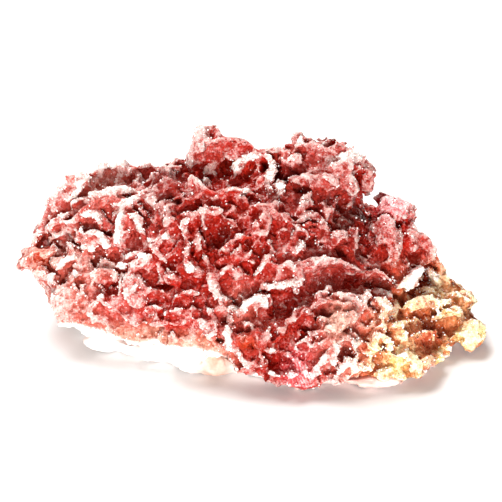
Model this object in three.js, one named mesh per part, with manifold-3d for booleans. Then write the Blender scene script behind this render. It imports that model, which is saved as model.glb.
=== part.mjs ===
// A trona specimen: a mound of curved trona plates, grown through each other and frosted along
// their free rims, on the crust of white salt that they grew from.
// Millimetres, +Z up. The origin is on the crust's flat underside, where the specimen rests.
// +X runs along its length and -Y is the display side.
//
// Two pieces: salt_crust, the white bed, and trona_plates, the one grown-together mass of plates.

import * as THREE from "three";
import { mergeVertices } from "three/addons/utils/BufferGeometryUtils.js";
import Module from "manifold-3d";

const wasm = await Module();
wasm.setup();

// ---- driving dimensions ------------------------------------------------------------------

const RIM_STAND = 5; // how far the rims stand out from the mound that the plates are rooted in
const PLATE = {
  thick: 2.3, // at its frosted rim
  rootThick: 0.6, // at its root, as a share of the rim
  endThick: 0.65, // at the rim's ends, as a share of its middle
  rootSpan: 0.72, // its width at the root, as a share of the rim
  shoulder: 0.42, // how far the rim's ends drop, as a share of half its span
  rootSink: 2.5, // how far a root goes into the mound
  longest: 17, // from rim to root
};
const BACK_PLATES = 140; // directions tried for the plates of the side turned away
const BACK_FACING = -0.1; // the way out of the mound turns at least this far from the viewer
const BACK_FLOOR = 8; // the lowest of them
const BED_GAP = 0.3; // between the plates' bed and the crust under it
const HALF_BLOCK = 62; // half of a block that is longer and deeper than the specimen
const DISPLAY_TILT = THREE.MathUtils.degToRad(30); // the specimen is set out as seen from this high

// The display plane: a place on it is so many mm to the side and so many up the tilted plane.
const ASIDE = new THREE.Vector3(1, 0, 0);
const UPWARD = new THREE.Vector3(0, Math.sin(DISPLAY_TILT), Math.cos(DISPLAY_TILT));
const TO_VIEWER = new THREE.Vector3(0, -Math.cos(DISPLAY_TILT), Math.sin(DISPLAY_TILT));

// ---- solids ------------------------------------------------------------------------------

// A closed geometry, as a solid that can be joined and cut.
function solidOf(geometry) {
  const bare = geometry.clone();
  bare.deleteAttribute("normal");
  bare.deleteAttribute("uv");
  const merged = mergeVertices(bare, 1e-4);
  return new wasm.Manifold(
    new wasm.Mesh({
      numProp: 3,
      vertProperties: new Float32Array(merged.attributes.position.array),
      triVerts: new Uint32Array(merged.index.array),
    }),
  );
}

function geometryOf(solid) {
  const mesh = solid.getMesh();
  const geometry = new THREE.BufferGeometry();
  geometry.setAttribute("position", new THREE.BufferAttribute(mesh.vertProperties, 3));
  geometry.setIndex(new THREE.BufferAttribute(mesh.triVerts, 1));
  return geometry.toNonIndexed();
}

// Moves each vertex of a geometry to where place(vertex) puts it.
function reshaped(geometry, place) {
  const position = geometry.attributes.position;
  const vertex = new THREE.Vector3();
  for (let i = 0; i < position.count; i++) {
    vertex.fromBufferAttribute(position, i);
    place(vertex);
    position.setXYZ(i, vertex.x, vertex.y, vertex.z);
  }
  return geometry;
}

const joined = (solids) => solids.reduce((whole, next) => whole.add(next));

// ---- the salt crust ------------------------------------------------------------------------

// Its edge on the surface it rests on, walked once round. The front edge is the broken one.
const CRUST_EDGE = [
  [-48, 0], [-45, -9], [-37, -16], [-28, -20], [-21, -23.5], [-15.5, -28.5], [-9, -27], [-3, -27.5],
  [4, -30], [13, -32.5], [22, -31.5], [31, -33.5], [37, -32], [44, -25], [51, -16], [53, -6],
  [49, 9], [37, 20], [18, 28], [-3, 31], [-24, 29], [-39, 23], [-47, 12],
];
// Its thickness along the specimen: thick and blocky on the left, a skin on the right.
const CRUST_TOP = [
  [-HALF_BLOCK, 4.6], [-48, 4.4], [-38, 4.6], [-30, 5.4], [-22, 7.6], [-15, 8.8], [-9, 7.4],
  [-3, 3.4], [6, 1.7], [20, 1.4], [32, 2.6], [42, 1.8], [HALF_BLOCK, 1.5],
];
const CRUST_ROUNDING = { across: 1.6, high: 2.2 };
const CRUST_BLANK = 14; // thicker than the crust, before its top is cut
const CRUST_EDGE_STEPS = 44;
const CRUST_TOP_STEPS = 20;

// Everything under the crust's top, raised by lift, as one block across the specimen.
function bedBlock(lift) {
  const top = new THREE.SplineCurve(CRUST_TOP.map(([x, z]) => new THREE.Vector2(x, z + lift)));
  const profile = new THREE.Shape(top.getPoints(CRUST_TOP_STEPS));
  profile.lineTo(HALF_BLOCK, -HALF_BLOCK);
  profile.lineTo(-HALF_BLOCK, -HALF_BLOCK);
  const block = new THREE.ExtrudeGeometry(profile, { depth: 2 * HALF_BLOCK, bevelEnabled: false });
  block.translate(0, 0, -HALF_BLOCK).rotateX(Math.PI / 2);
  return solidOf(block);
}

function saltCrust() {
  const edge = new THREE.CatmullRomCurve3(
    CRUST_EDGE.map(([x, y]) => new THREE.Vector3(x, y, 0)), true, "centripetal",
  );
  const outline = edge.getSpacedPoints(CRUST_EDGE_STEPS).slice(0, -1);
  const slab = new THREE.ExtrudeGeometry(
    new THREE.Shape(outline.map((p) => new THREE.Vector2(p.x, p.y))),
    {
      depth: CRUST_BLANK,
      steps: 1,
      bevelSegments: 2,
      bevelThickness: CRUST_ROUNDING.high,
      bevelSize: CRUST_ROUNDING.across,
      bevelOffset: -CRUST_ROUNDING.across / 2,
    },
  );
  slab.translate(0, 0, CRUST_ROUNDING.high);
  return solidOf(slab).intersect(bedBlock(0));
}

// ---- the mound that the plates are rooted in --------------------------------------------------

// Each lump is an ellipsoid: its centre, its half-sizes out to the rims of its plates, and how
// far they stand where that is less than usual.
const LUMPS = [
  { at: [-4, 6, 17], half: [40, 29, 24.5] }, // the body
  { at: [-36, 11, 20], half: [20.5, 18.5, 18.5] }, // the left crown
  { at: [-45, 5, 14], half: [16.5, 17, 12.5] }, // the left end, which overhangs the crust
  { at: [-31, -3, 10], half: [22, 18, 13], stand: 2.5 }, // the smooth pink skirt over the thick crust
  { at: [-16, -13, 12], half: [13, 16.5, 11], stand: 2.5 }, // the corner over the block of crust
  { at: [-11, 16, 36], half: [8.5, 9, 12.5] }, // the peak
  { at: [-2, 15, 32], half: [12.5, 11.5, 12] }, // the peak's right flank
  { at: [18, 13, 31], half: [14, 14.5, 14.5] }, // the right crown
  { at: [31, 6, 14], half: [16.5, 18.5, 16.5] }, // the right shoulder
  { at: [11, -15, 7], half: [31, 21.5, 17] }, // the front
  { at: [44, -5, 4.5], half: [15, 15.5, 11], stand: 3.5 }, // the yellow end
  { at: [34, -16, 3.5], half: [16.5, 18, 11], stand: 3.5 }, // the foot of the yellow end
  { at: [-2, 18, 12], half: [42, 17, 20] }, // the back
];
// Smooth bosses that stand among the plates: centre and half-sizes of their own surface.
const BOSSES = [
  { at: [36, 9, 27], half: [5.4, 5, 4.6] }, // the pink dome on the right shoulder
  { at: [28.4, 14, 36], half: [2.8, 4, 3.2] }, // the red lobe at the right crown's corner
  { at: [52, -3, 9], half: [4, 4, 2.8] }, // the tan nub over the yellow end
  { at: [54.5, -12, 4.4], half: [4.5, 5.5, 3.6] }, // the yellow-green tip
  { at: [-44, 3, 9], half: [11, 12, 7] }, // the rounded underside of the left end
];
for (const lump of [...LUMPS, ...BOSSES]) {
  lump.centre = new THREE.Vector3(...lump.at);
  lump.rims = new THREE.Vector3(...lump.half);
  lump.roots = BOSSES.includes(lump) ? lump.rims : lump.rims.clone().subScalar(lump.stand ?? RIM_STAND);
}

// Whether a point is inside some lump's own surface, where a root holds.
const insideMound = (point) =>
  LUMPS.some(({ centre, roots }) => point.clone().sub(centre).divide(roots).length() < 1);

// Faceted lumps, each a little out of round.
function mound() {
  const solids = [...LUMPS, ...BOSSES].map(({ roots, centre }) => {
    const facets = new THREE.IcosahedronGeometry(1, roots.x > 20 ? 2 : 1);
    reshaped(facets, (v) => {
      const unevenness = Math.sin(5 * v.x + centre.x) * Math.cos(6 * v.y + 4 * v.z);
      v.multiplyScalar(1.04 + 0.04 * unevenness).multiply(roots).add(centre);
    });
    return solidOf(facets);
  });
  return joined(solids);
}

// Where a line last meets the surface that the rims reach, and the way out from there. A line
// that misses it takes the place where it passes closest.
function meetsMound(start, along) {
  let best = null;
  for (const { centre, rims } of LUMPS) {
    const o = start.clone().sub(centre).divide(rims);
    const d = along.clone().divide(rims);
    const middle = -o.dot(d) / d.dot(d);
    const miss = o.clone().addScaledVector(d, middle).length();
    const far = miss < 1 ? middle + Math.sqrt((1 - miss * miss) / d.dot(d)) : middle;
    const found = { hit: miss < 1, miss, far, centre, rims };
    const nearer = found.hit ? !best?.hit || far > best.far : !best?.hit && miss < (best?.miss ?? Infinity);
    if (nearer) best = found;
  }
  const at = start.clone().addScaledVector(along, best.far);
  const out = at.clone().sub(best.centre).divide(best.rims).divide(best.rims).normalize();
  return { at, out };
}

// ---- the plates ---------------------------------------------------------------------------------

// The display side's plates, one row each, by the middle of the rim:
// [mm aside, mm up the display plane, turn of the rim in degrees, span of the rim,
//  bend of the rim in degrees, lean: 0 stands straight out of the mound, 1 half-way up the plane]
const DISPLAY_PLATES = [
  // the left end
  [-52, 31.5, 62, 10, 20, 0.5], [-49.5, 35, 50, 8, 0, 0.5], [-45.5, 38, 20, 7, 0, 0.6],
  [-39, 41, 12, 11, 15, 0.6], [-32, 41.3, -8, 10, -20, 0.6], [-25.5, 40.6, 0, 11, 0, 0.5],
  [-23.5, 38, -5, 10, 0, 0.3], [-36, 33.5, 6, 13, 25, 0.5], [-31.5, 31.8, 28, 11, -15, 0.2],
  [-25.5, 32, -60, 10, 0, 0.2], [-42.5, 27.8, 2, 10, 20, 0.4], [-34, 24.5, 68, 11, 30, 0],
  [-29.5, 26, -52, 7, 0, 0.2], [-40.5, 22, -8, 11, -30, 0.3], [-47, 17, 6, 10, 20, 0.1],
  [-50.5, 26, 20, 10, -40, 0.3], [-56.5, 24.5, 60, 7, -60, 0.4], [-56, 19.5, 5, 8, 20, 0.2],
  [-59, 15.5, 35, 7, 20, 0.2], [-44, 13.5, 30, 8, 0, 0.2], [-38, 13.5, 5, 11, -60, 0.4],
  [-37, 6.8, 3, 8, 30, 0], [-33.5, 9.5, 78, 8, -30, 0.2], [-28, 9, -35, 12, 20, 0.3],
  [-31, 14.5, 35, 10, 0, 0.1], [-54, 12, -30, 8, 0, 0.1], [-47, 8, -25, 10, 20, 0.1],
  [-25, 2, -50, 10, 0, 0.1], [-34, 3, -30, 7, 0, 0.1],
  // the middle, from the peak down
  [-14.5, 48, 60, 7, 20, 0.5], [-11, 50.5, -10, 6, -20, 0.5], [-5, 46.5, -18, 13, 20, 0.6],
  [-17.5, 43, 62, 7, 0, 0.5], [-21, 41.3, 5, 8, 30, 0.5], [-1, 42, 30, 11, 0, 0.2],
  [3.6, 38.5, -75, 10, 20, 0.1], [-7, 34, 5, 8, -20, 0.5], [-10.5, 28.5, 0, 12, -40, 0.6],
  [-17.6, 24.5, 76, 10, 40, 0.3], [-5.5, 24.5, -66, 10, 0, 0.3], [-14.5, 33, 12, 11, 10, 0.5],
  [-21.5, 36, -28, 11, 0, 0.4], [-22.5, 27.5, 80, 7, 0, 0.1], [4.5, 29.5, -20, 7, 0, 0.1],
  [0.5, 26, 80, 10, 0, 0.5], [-6, 17.5, -8, 11, 20, 0.1], [-17, 15, -60, 7, 0, 0],
  [-13, 19.5, -65, 7, 0, 0.3], [-20, 9, -60, 10, 0, 0.2],
  // the right crown and shoulder
  [-0.5, 45, -8, 8, 0, 0.4], [4.5, 45.2, 8, 8, 0, 0.5], [9, 45.4, -5, 8, 0, 0.5], [8, 42, 5, 10, 0, 0.3],
  [11.5, 47.5, 25, 6, 0, 0.6], [15.8, 46.5, -5, 6, 0, 0.6], [21.5, 45.8, 0, 8, 20, 0.5],
  [26.5, 44.3, -25, 7, 10, 0.5], [24, 41.8, 8, 11, -20, 0.3], [24.5, 38, -48, 7, 20, 0.4],
  [18, 37, 8, 10, -60, 0.4], [11.5, 37.3, -12, 8, 0, 0.3], [13, 32.5, 50, 10, 0, 0.1],
  [14.3, 25.8, 0, 12, -120, 0.4], [22.5, 22.5, -15, 7, -80, 0.3], [17, 16.3, 3, 14, -20, 0.3],
  [26, 14.5, -35, 11, -10, 0.2], [36, 20.5, -80, 12, 20, 0.2], [31, 25, -75, 10, 0, 0.3],
  [42, 23.5, -50, 7, 20, 0.4], [45, 19.5, -65, 7, 20, 0.4], [48, 14, -60, 7, 0, 0.4],
  [41, 12, 44, 10, 0, 0.1], [32, 12, -15, 8, 0, 0.1], [19, 30, -80, 10, 0, 0.2],
  // the front
  [-9.5, 10.5, -70, 8, 30, 0.5], [-6, 14, 0, 8, -70, 0.4], [-2, 6.2, 18, 12, -15, 0.1],
  [7, 10.5, 3, 13, -15, 0.15], [3, 15, 55, 8, 0, 0.1], [8, 14.8, 0, 10, -80, 0.3],
  [-13, 0.5, -28, 11, 20, 0.1], [-6.5, -3, -42, 8, 0, 0.1], [10, -12, 0, 10, -30, 0.3],
  [3, -11, -20, 8, 0, 0.2], [-3, -9, -30, 8, 0, 0.1], [16, -11, 45, 10, 0, 0.2],
  [13.5, 3, -35, 10, 20, 0.2], [6, -1, 62, 9, 0, 0.2], [16.5, 9, 42, 9, 0, 0.2],
  [20, -6.5, 68, 9, 20, 0.1], [0, -3, -15, 9, 20, 0.2], [29, -7.5, 65, 8, 0, 0.1],
  [-9, 5, 25, 8, 0, 0.2], [22, -14, 10, 9, 0, 0.1], [5, -15.5, 8, 9, 0, 0],
  [13, -16.5, 0, 9, 0, 0], [-5, -12.5, -12, 8, 0, 0], [29, -16, 5, 9, 0, 0],
  // the yellow end
  [22, 3.3, 25, 11, -60, 0.2], [24, 7.2, -8, 13, -60, 0.2], [18, -2.5, 16, 10, -20, 0.2],
  [25, -4, -45, 11, -20, 0.1], [23.5, -10, -20, 8, 0, 0.2], [31.5, -1, 80, 8, 0, 0.1],
  [33, 5, -62, 8, 0, 0.1], [41, 5.3, 18, 11, -15, 0.1], [47.5, 3, 18, 11, 0, 0.1],
  [50, -3.5, 25, 10, 0, 0.1], [46, -8, 22, 10, 0, 0.1], [40.5, -11, -42, 8, 0, 0.1],
  [31, -12.5, 12, 10, 0, 0.1], [37, -14.5, 0, 10, 0, 0.1], [36, -7, -8, 9, 20, 0.2],
  [43, -1, 12, 11, 0, 0.2], [37.5, 1, 35, 8, 0, 0.2],
];

// Walks in from the rim until the plate is rooted; null if it would miss the mound.
function rootedLength(rim, growth) {
  const step = 0.5;
  for (let length = step; length < PLATE.longest; length += step) {
    if (insideMound(rim.clone().addScaledVector(growth, -length))) return length + PLATE.rootSink;
  }
  return null;
}

// A plate by its place on the display plane. It leans from the mound's own way out towards the
// side of its rim, less far where it would miss the mound.
function displayPlate([aside, rise, turn, span, bend, lean]) {
  const angle = THREE.MathUtils.degToRad(turn);
  const start = ASIDE.clone().multiplyScalar(aside).addScaledVector(UPWARD, rise);
  const { at, out } = meetsMound(start, TO_VIEWER);
  const along = ASIDE.clone().multiplyScalar(Math.cos(angle)).addScaledVector(UPWARD, Math.sin(angle));
  const across = UPWARD.clone().multiplyScalar(Math.cos(angle)).addScaledVector(ASIDE, -Math.sin(angle));
  for (const share of [1, 0.6, 0.3, 0]) {
    const growth = out.clone().addScaledVector(across, lean * share).normalize();
    const length = rootedLength(at, growth);
    if (length === null) continue;
    const slant = THREE.MathUtils.clamp(-along.dot(growth) / (TO_VIEWER.dot(growth) || 1e-6), -1, 1);
    const rimLine = along.clone().addScaledVector(TO_VIEWER, slant);
    rimLine.addScaledVector(growth, -rimLine.dot(growth)).normalize();
    return { rim: at, growth, rimLine, span, bend, length };
  }
  return null;
}

// Park and Miller's generator, so that every run grows the same plates.
function randomStream(seed) {
  let state = seed;
  return () => (state = (state * 16807) % 2147483647) / 2147483647;
}

// Plates of the side turned away, spread evenly by the golden angle.
function backPlates() {
  const random = randomStream(7);
  const middle = new THREE.Vector3(0, 6, 10);
  const up = new THREE.Vector3(0, 0, 1);
  const plates = [];
  for (let i = 0; i < BACK_PLATES; i++) {
    const height = 1 - (2 * i + 1) / BACK_PLATES;
    const heading = i * Math.PI * (3 - Math.sqrt(5));
    const flat = Math.sqrt(1 - height * height);
    const way = new THREE.Vector3(flat * Math.cos(heading), flat * Math.sin(heading), height);
    const { at, out } = meetsMound(middle, way);
    const [turn, size, bend, lift] = [random(), random(), random(), random()];
    if (out.dot(TO_VIEWER) > BACK_FACING || at.z < BACK_FLOOR) continue;
    const growth = out.clone().addScaledVector(up, 0.2 + 0.5 * lift).normalize();
    const length = rootedLength(at, growth);
    if (length === null) continue;
    const rimLine = up.clone().cross(growth).normalize().applyAxisAngle(growth, 1.6 * (turn - 0.5));
    plates.push({ rim: at, growth, rimLine, span: 9 + 5 * size, bend: 140 * (bend - 0.5), length });
  }
  return plates;
}

// A curved plate: a block bent round its growth, narrower at the root, round-shouldered and
// thickest at the rim.
function plateSolid({ rim, growth, rimLine, span, bend, length }) {
  const face = growth.clone().cross(rimLine);
  const halfBend = THREE.MathUtils.degToRad(bend) / 2;
  const steps = 2 + Math.round(Math.abs(bend) / 60);
  const block = new THREE.BoxGeometry(2, 2, 1, steps, 1, 1).translate(0, 0, 0.5);
  reshaped(block, (v) => {
    const { x: u, y: w, z: out } = v;
    const halfSpan = (span / 2) * THREE.MathUtils.lerp(PLATE.rootSpan, 1, out);
    const taper = THREE.MathUtils.lerp(PLATE.rootThick, 1, out);
    const halfThick = (PLATE.thick / 2) * taper * THREE.MathUtils.lerp(1, PLATE.endThick, u * u);
    const swing = u * halfBend;
    const bent = Math.abs(halfBend) > 0.02;
    const aside = bent ? (halfSpan * Math.sin(swing)) / halfBend : u * halfSpan;
    const sag = bent ? (halfSpan * (1 - Math.cos(swing))) / halfBend : 0;
    const shoulder = PLATE.shoulder * (span / 2) * Math.abs(u) ** 3 * out;
    v.copy(rim)
      .addScaledVector(rimLine, aside - w * halfThick * Math.sin(swing))
      .addScaledVector(face, sag + w * halfThick * Math.cos(swing))
      .addScaledVector(growth, length * (out - 1) - shoulder);
  });
  return solidOf(block);
}

function tronaPlates() {
  const plates = [...DISPLAY_PLATES.map(displayPlate), ...backPlates()].filter(Boolean);
  const whole = joined([mound(), ...plates.map(plateSolid)]).subtract(bedBlock(BED_GAP));
  // The one connected mass: the cut can free a plate's corner, and close plates can shut in a void.
  return whole.decompose().sort((a, b) => b.volume() - a.volume())[0].simplify(0.3);
}

// ---- the specimen ----------------------------------------------------------------------------------

function piece(name, solid, color, roughness) {
  const material = new THREE.MeshStandardMaterial({ color, roughness, metalness: 0, flatShading: true });
  const mesh = new THREE.Mesh(geometryOf(solid), material);
  mesh.name = name;
  return mesh;
}

const specimen = new THREE.Group();
specimen.name = "trona_specimen";
specimen.add(piece("salt_crust", saltCrust(), 0xf6efe9, 0.7));
specimen.add(piece("trona_plates", tronaPlates(), 0xb9504c, 0.45));

export default specimen;
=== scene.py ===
"""The look of a trona specimen: a mound of curved red plates, frosted along their rims, on its white
salt crust. Lengths are in millimetres until a finished piece is put in place in metres."""

import math

import bmesh
import bpy
import numpy as np
from mathutils import Matrix, Vector, kdtree
from mathutils.bvhtree import BVHTree


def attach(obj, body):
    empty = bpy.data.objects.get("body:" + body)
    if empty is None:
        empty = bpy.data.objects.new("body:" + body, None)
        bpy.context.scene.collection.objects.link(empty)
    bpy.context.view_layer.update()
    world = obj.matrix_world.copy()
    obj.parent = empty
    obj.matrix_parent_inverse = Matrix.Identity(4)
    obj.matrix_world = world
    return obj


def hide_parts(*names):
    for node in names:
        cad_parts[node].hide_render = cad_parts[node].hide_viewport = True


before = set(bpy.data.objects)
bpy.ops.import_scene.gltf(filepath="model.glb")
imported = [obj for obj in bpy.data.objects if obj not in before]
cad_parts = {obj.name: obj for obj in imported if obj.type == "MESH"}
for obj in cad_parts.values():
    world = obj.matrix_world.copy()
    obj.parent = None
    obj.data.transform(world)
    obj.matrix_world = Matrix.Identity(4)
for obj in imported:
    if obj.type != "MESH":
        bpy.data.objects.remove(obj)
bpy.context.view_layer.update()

# ---- Camera ----------------------------------------------------------------------------------
# A long lens, level along the specimen's length and looking down on its display side.

METRES = 0.001  # one millimetre
VIEW_TILT = math.radians(30)
VIEW_DISTANCE = 700
VIEW_WIDTH = 129.7  # seen across the picture, at the specimen
ASIDE = Vector((1, 0, 0))
UPWARD = Vector((0, math.sin(VIEW_TILT), math.cos(VIEW_TILT)))
TO_VIEWER = Vector((0, -math.cos(VIEW_TILT), math.sin(VIEW_TILT)))
AIM = -1.0 * ASIDE + 18.35 * UPWARD  # the middle of the picture

lens = bpy.data.cameras.new("long_lens")
lens.sensor_width = 36
lens.lens = lens.sensor_width * VIEW_DISTANCE / VIEW_WIDTH
lens.clip_start = 0.01
lens.clip_end = 10
camera = bpy.data.objects.new("camera", lens)
camera.location = (AIM + VIEW_DISTANCE * TO_VIEWER) * METRES
camera.rotation_euler = (math.pi / 2 - VIEW_TILT, 0, 0)
bpy.context.collection.objects.link(camera)
bpy.context.scene.camera = camera

# ---- Salt crust ------------------------------------------------------------------------------
# The bed that the plates grew on: white rock salt with a flat underside, broken off by hand.
# It is thick and blocky at the left and a thin skin at the right, and stained where plates root.

SEED = 11
rng = np.random.default_rng(SEED)


def linear(hex_colour):
    """An sRGB hex value as a linear colour."""
    channels = [int(hex_colour[i : i + 2], 16) / 255 for i in (1, 3, 5)]
    return [c / 12.92 if c <= 0.04045 else ((c + 0.055) / 1.055) ** 2.4 for c in channels] + [1.0]


def node(material, kind, inputs=None, **settings):
    """Adds a shader node with its settings, and fills its inputs with values or other outputs."""
    made = material.node_tree.nodes.new(kind)
    for name, value in settings.items():
        setattr(made, name, value)
    for socket, source in (inputs or {}).items():
        if isinstance(source, bpy.types.NodeSocket):
            material.node_tree.links.new(source, made.inputs[socket])
        else:
            made.inputs[socket].default_value = source
    return made


def new_material(name):
    """A material and its Principled shader, which is wired to its output."""
    material = bpy.data.materials.new(name)
    material.use_nodes = True
    return material, material.node_tree.nodes["Principled BSDF"]


def solid_mesh(node_name):
    """A merged copy of a solid's mesh, in millimetres."""
    copy = bmesh.new()
    copy.from_mesh(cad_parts[node_name].data)
    bmesh.ops.scale(copy, vec=Vector((1, 1, 1)) / METRES, verts=copy.verts)
    bmesh.ops.remove_doubles(copy, verts=copy.verts, dist=0.001)
    return copy


def as_object(name, shape):
    """Hands a bmesh over to a new object."""
    mesh = bpy.data.meshes.new(name)
    shape.to_mesh(mesh)
    shape.free()
    made = bpy.data.objects.new(name, mesh)
    bpy.context.collection.objects.link(made)
    return made


def settle(piece):
    """Makes a piece's modifiers part of its mesh."""
    bpy.context.view_layer.update()
    graph = bpy.context.evaluated_depsgraph_get()
    mesh = bpy.data.meshes.new_from_object(piece.evaluated_get(graph))
    piece.modifiers.clear()
    piece.data = mesh


def fuse(piece, grain):
    """Grows everything in a piece together into one skin, whose faces are grain across."""
    remesh = piece.modifiers.new("fuse", "REMESH")
    remesh.mode = "VOXEL"
    remesh.voxel_size = grain
    settle(piece)


def soften(piece, rounds):
    """Rounds a piece's edges."""
    smooth = piece.modifiers.new("soften", "SMOOTH")
    smooth.iterations = rounds
    smooth.factor = 0.5


def roughen(piece, kind, across, height, middle=0.5):
    """Raises lumps of one kind, so wide and so high, over a piece."""
    pattern = bpy.data.textures.new("lumps", kind)
    pattern.noise_scale = across
    lumps = piece.modifiers.new("lumps", "DISPLACE")
    lumps.texture = pattern
    lumps.strength = height
    lumps.mid_level = middle


def points_of(mesh):
    """A mesh's vertices as an array."""
    flat = np.empty(len(mesh.vertices) * 3, np.float32)
    mesh.vertices.foreach_get("co", flat)
    return flat.reshape(-1, 3)


def move_points(mesh, points):
    """Puts a mesh's vertices where an array says."""
    mesh.vertices.foreach_set("co", points.astype(np.float32).ravel())
    mesh.update()


def keep_on_floor(points):
    """Lifts what is under the floor, so that the underside stays flat."""
    points[:, 2] = np.maximum(points[:, 2], 0)


def smoothed(mesh, rounds):
    """The points and normals of a mesh once its edges are rounded."""
    copy = bpy.data.objects.new("smoothed", mesh.copy())
    bpy.context.collection.objects.link(copy)
    soften(copy, rounds)
    settle(copy)
    normals = np.array([normal.vector for normal in copy.data.vertex_normals])
    points = points_of(copy.data)
    bpy.data.objects.remove(copy)
    return points, normals


def facet(mesh, count, tilt, share, most):
    """Flattens a mesh into so many crystal faces, tilted at random, and says which place is on which.

    A place goes this share of its way to its face, and so many mm at most.
    """
    points = points_of(mesh)
    _, normals = smoothed(mesh, rounds=3)
    middles = rng.choice(len(points), count, replace=False)
    face_normals = normals[middles] + tilt * rng.normal(size=(count, 3))
    face_normals /= np.linalg.norm(face_normals, axis=1)[:, None]
    swollen = points + normals  # keeps the two sides of a thin plate apart
    tree = kdtree.KDTree(count)
    for i, middle in enumerate(middles):
        tree.insert(swollen[middle], i)
    tree.balance()
    nearest = np.array([tree.find(place)[1] for place in swollen])
    off = ((points - points[middles[nearest]]) * face_normals[nearest]).sum(1)
    move_points(mesh, points - np.clip(share * off, -most, most)[:, None] * face_normals[nearest])
    return nearest


def keep_colours(mesh, name, colours):
    """Keeps a colour for each vertex on a mesh."""
    rgba = np.ones((len(colours), 4), np.float32)
    rgba[:, :3] = colours[:, :3]
    mesh.attributes.new(name, "FLOAT_COLOR", "POINT").data.foreach_set("color", rgba.ravel())


def put_in_place(piece, material, node_name):
    """Gives a finished piece its material and its place in the frame."""
    piece.data.transform(Matrix.Scale(METRES, 4))
    piece.data.materials.clear()
    piece.data.materials.append(material)
    piece.data.shade_smooth()
    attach(piece, "root")
    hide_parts(node_name)


CRUST_GRAIN = 0.55
CRUST_BLOCKS = [  # lumps of the broken front edge: centre and half-sizes
    ((-10.5, -26.5, 3.6), (4.4, 3.4, 3.4)),
    ((-16.5, -26.0, 3.0), (3.6, 3.0, 3.0)),
    ((-26.0, -20.5, 3.4), (5.0, 3.0, 3.0)),
    ((-39.0, -15.0, 2.8), (4.5, 3.0, 2.4)),
    ((31.5, -32.2, 1.7), (6.5, 3.2, 1.8)),
]
CRUST_FACES = 1100
UNDERCUT = 0.08  # how far the underside draws in, as a share of its width
UNDERCUT_HEIGHT = 3.5

bed = solid_mesh("salt_crust")
for centre, half in CRUST_BLOCKS:
    block = bmesh.ops.create_icosphere(bed, subdivisions=3, radius=1)["verts"]
    bmesh.ops.scale(bed, vec=half, verts=block)
    bmesh.ops.translate(bed, vec=centre, verts=block)
crust = as_object("salt_crust_bed", bed)
fuse(crust, CRUST_GRAIN)
soften(crust, rounds=3)
roughen(crust, "CLOUDS", across=7, height=1.6)
roughen(crust, "VORONOI", across=1.8, height=-0.6, middle=0.3)
settle(crust)
facet(crust.data, CRUST_FACES, tilt=0.12, share=0.8, most=0.5)
crust_points = points_of(crust.data)
keep_on_floor(crust_points)
drawn_in = UNDERCUT * np.clip(1 - crust_points[:, 2] / UNDERCUT_HEIGHT, 0, 1)
crust_points[:, :2] *= (1 - drawn_in)[:, None]
move_points(crust.data, crust_points)

# Rock salt, cleaved and weathered: a soft white with faint stains, and tan where it was broken last.
CRUST_STAINS = [  # (mm along X, mm along Y), mm that it reaches, and its colour
    ((22, -31), 22, "#E9B7AC"),
    ((48, -14), 16, "#E8D3A6"),
    ((-10, -27.5), 5, "#BC9078"),
    ((32, -33), 7, "#E2C2BA"),
]
stained = np.tile(linear("#F5EEEA"), (len(crust_points), 1))
for (x, y), reach, stain in CRUST_STAINS:
    share = np.exp(-((crust_points[:, 0] - x) ** 2 + (crust_points[:, 1] - y) ** 2) / reach**2)
    stained += share[:, None] * (np.array(linear(stain)) - stained)
keep_colours(crust.data, "stain", stained)

salt, salt_shader = new_material("cleaved_rock_salt")
DIRT = 3  # mm across its spots
SALT_CRYSTAL = 0.9
salt_place = node(salt, "ShaderNodeTexCoord").outputs["Object"]
salt_mottle = node(
    salt, "ShaderNodeTexNoise", {"Vector": salt_place, "Scale": 1 / (DIRT * METRES), "Detail": 4.0}
).outputs["Fac"]
salt_dirt = node(
    salt, "ShaderNodeMapRange", {"Value": salt_mottle, "From Min": 0.55, "From Max": 0.8, "To Max": 0.35}
).outputs["Result"]
salt_colour = node(
    salt, "ShaderNodeMix",
    {0: salt_dirt, 6: node(salt, "ShaderNodeAttribute", attribute_name="stain").outputs["Color"],
     7: linear("#E3C3AE")},
    data_type="RGBA",
).outputs[2]
salt_grain = node(
    salt, "ShaderNodeTexVoronoi", {"Vector": salt_place, "Scale": 1 / (SALT_CRYSTAL * METRES)}
).outputs["Distance"]
salt_bump = node(salt, "ShaderNodeBump", {"Height": salt_grain, "Strength": 0.4, "Distance": 0.25 * METRES})
salt.node_tree.links.new(salt_colour, salt_shader.inputs["Base Color"])
salt.node_tree.links.new(salt_bump.outputs["Normal"], salt_shader.inputs["Normal"])
salt_shader.inputs["Roughness"].default_value = 0.55
salt_shader.inputs["IOR"].default_value = 1.54
salt_shader.inputs["Subsurface Weight"].default_value = 0.25
salt_shader.inputs["Subsurface Radius"].default_value = (1.0, 0.7, 0.6)
salt_shader.inputs["Subsurface Scale"].default_value = 1.5 * METRES
put_in_place(crust, salt, "salt_crust")

# ---- Trona body --------------------------------------------------------------------------------
# One mass of red trona: blades curved like petals, grown through each other and cemented by later
# salt. The big plates come from the solid, worn round by growth, with pockets left between them.

BODY_GRAIN = 0.7
BODY_FACES = 1500
SKIRT_HALF = (4, 2.6, 1.8)  # half-sizes of each lump in the skirt
SKIRT = [  # where the plates' foot is cemented along the crust's front edge
    (-46, -13, 8.9), (-41, -14.5, 8.6), (-36, -16, 7.5), (-31, -16.8, 6.2), (-26, -19, 6.8),
    (-21, -22.3, 8.4), (-17, -25.3, 9.4), (-12.5, -27, 8.2),
]

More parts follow.
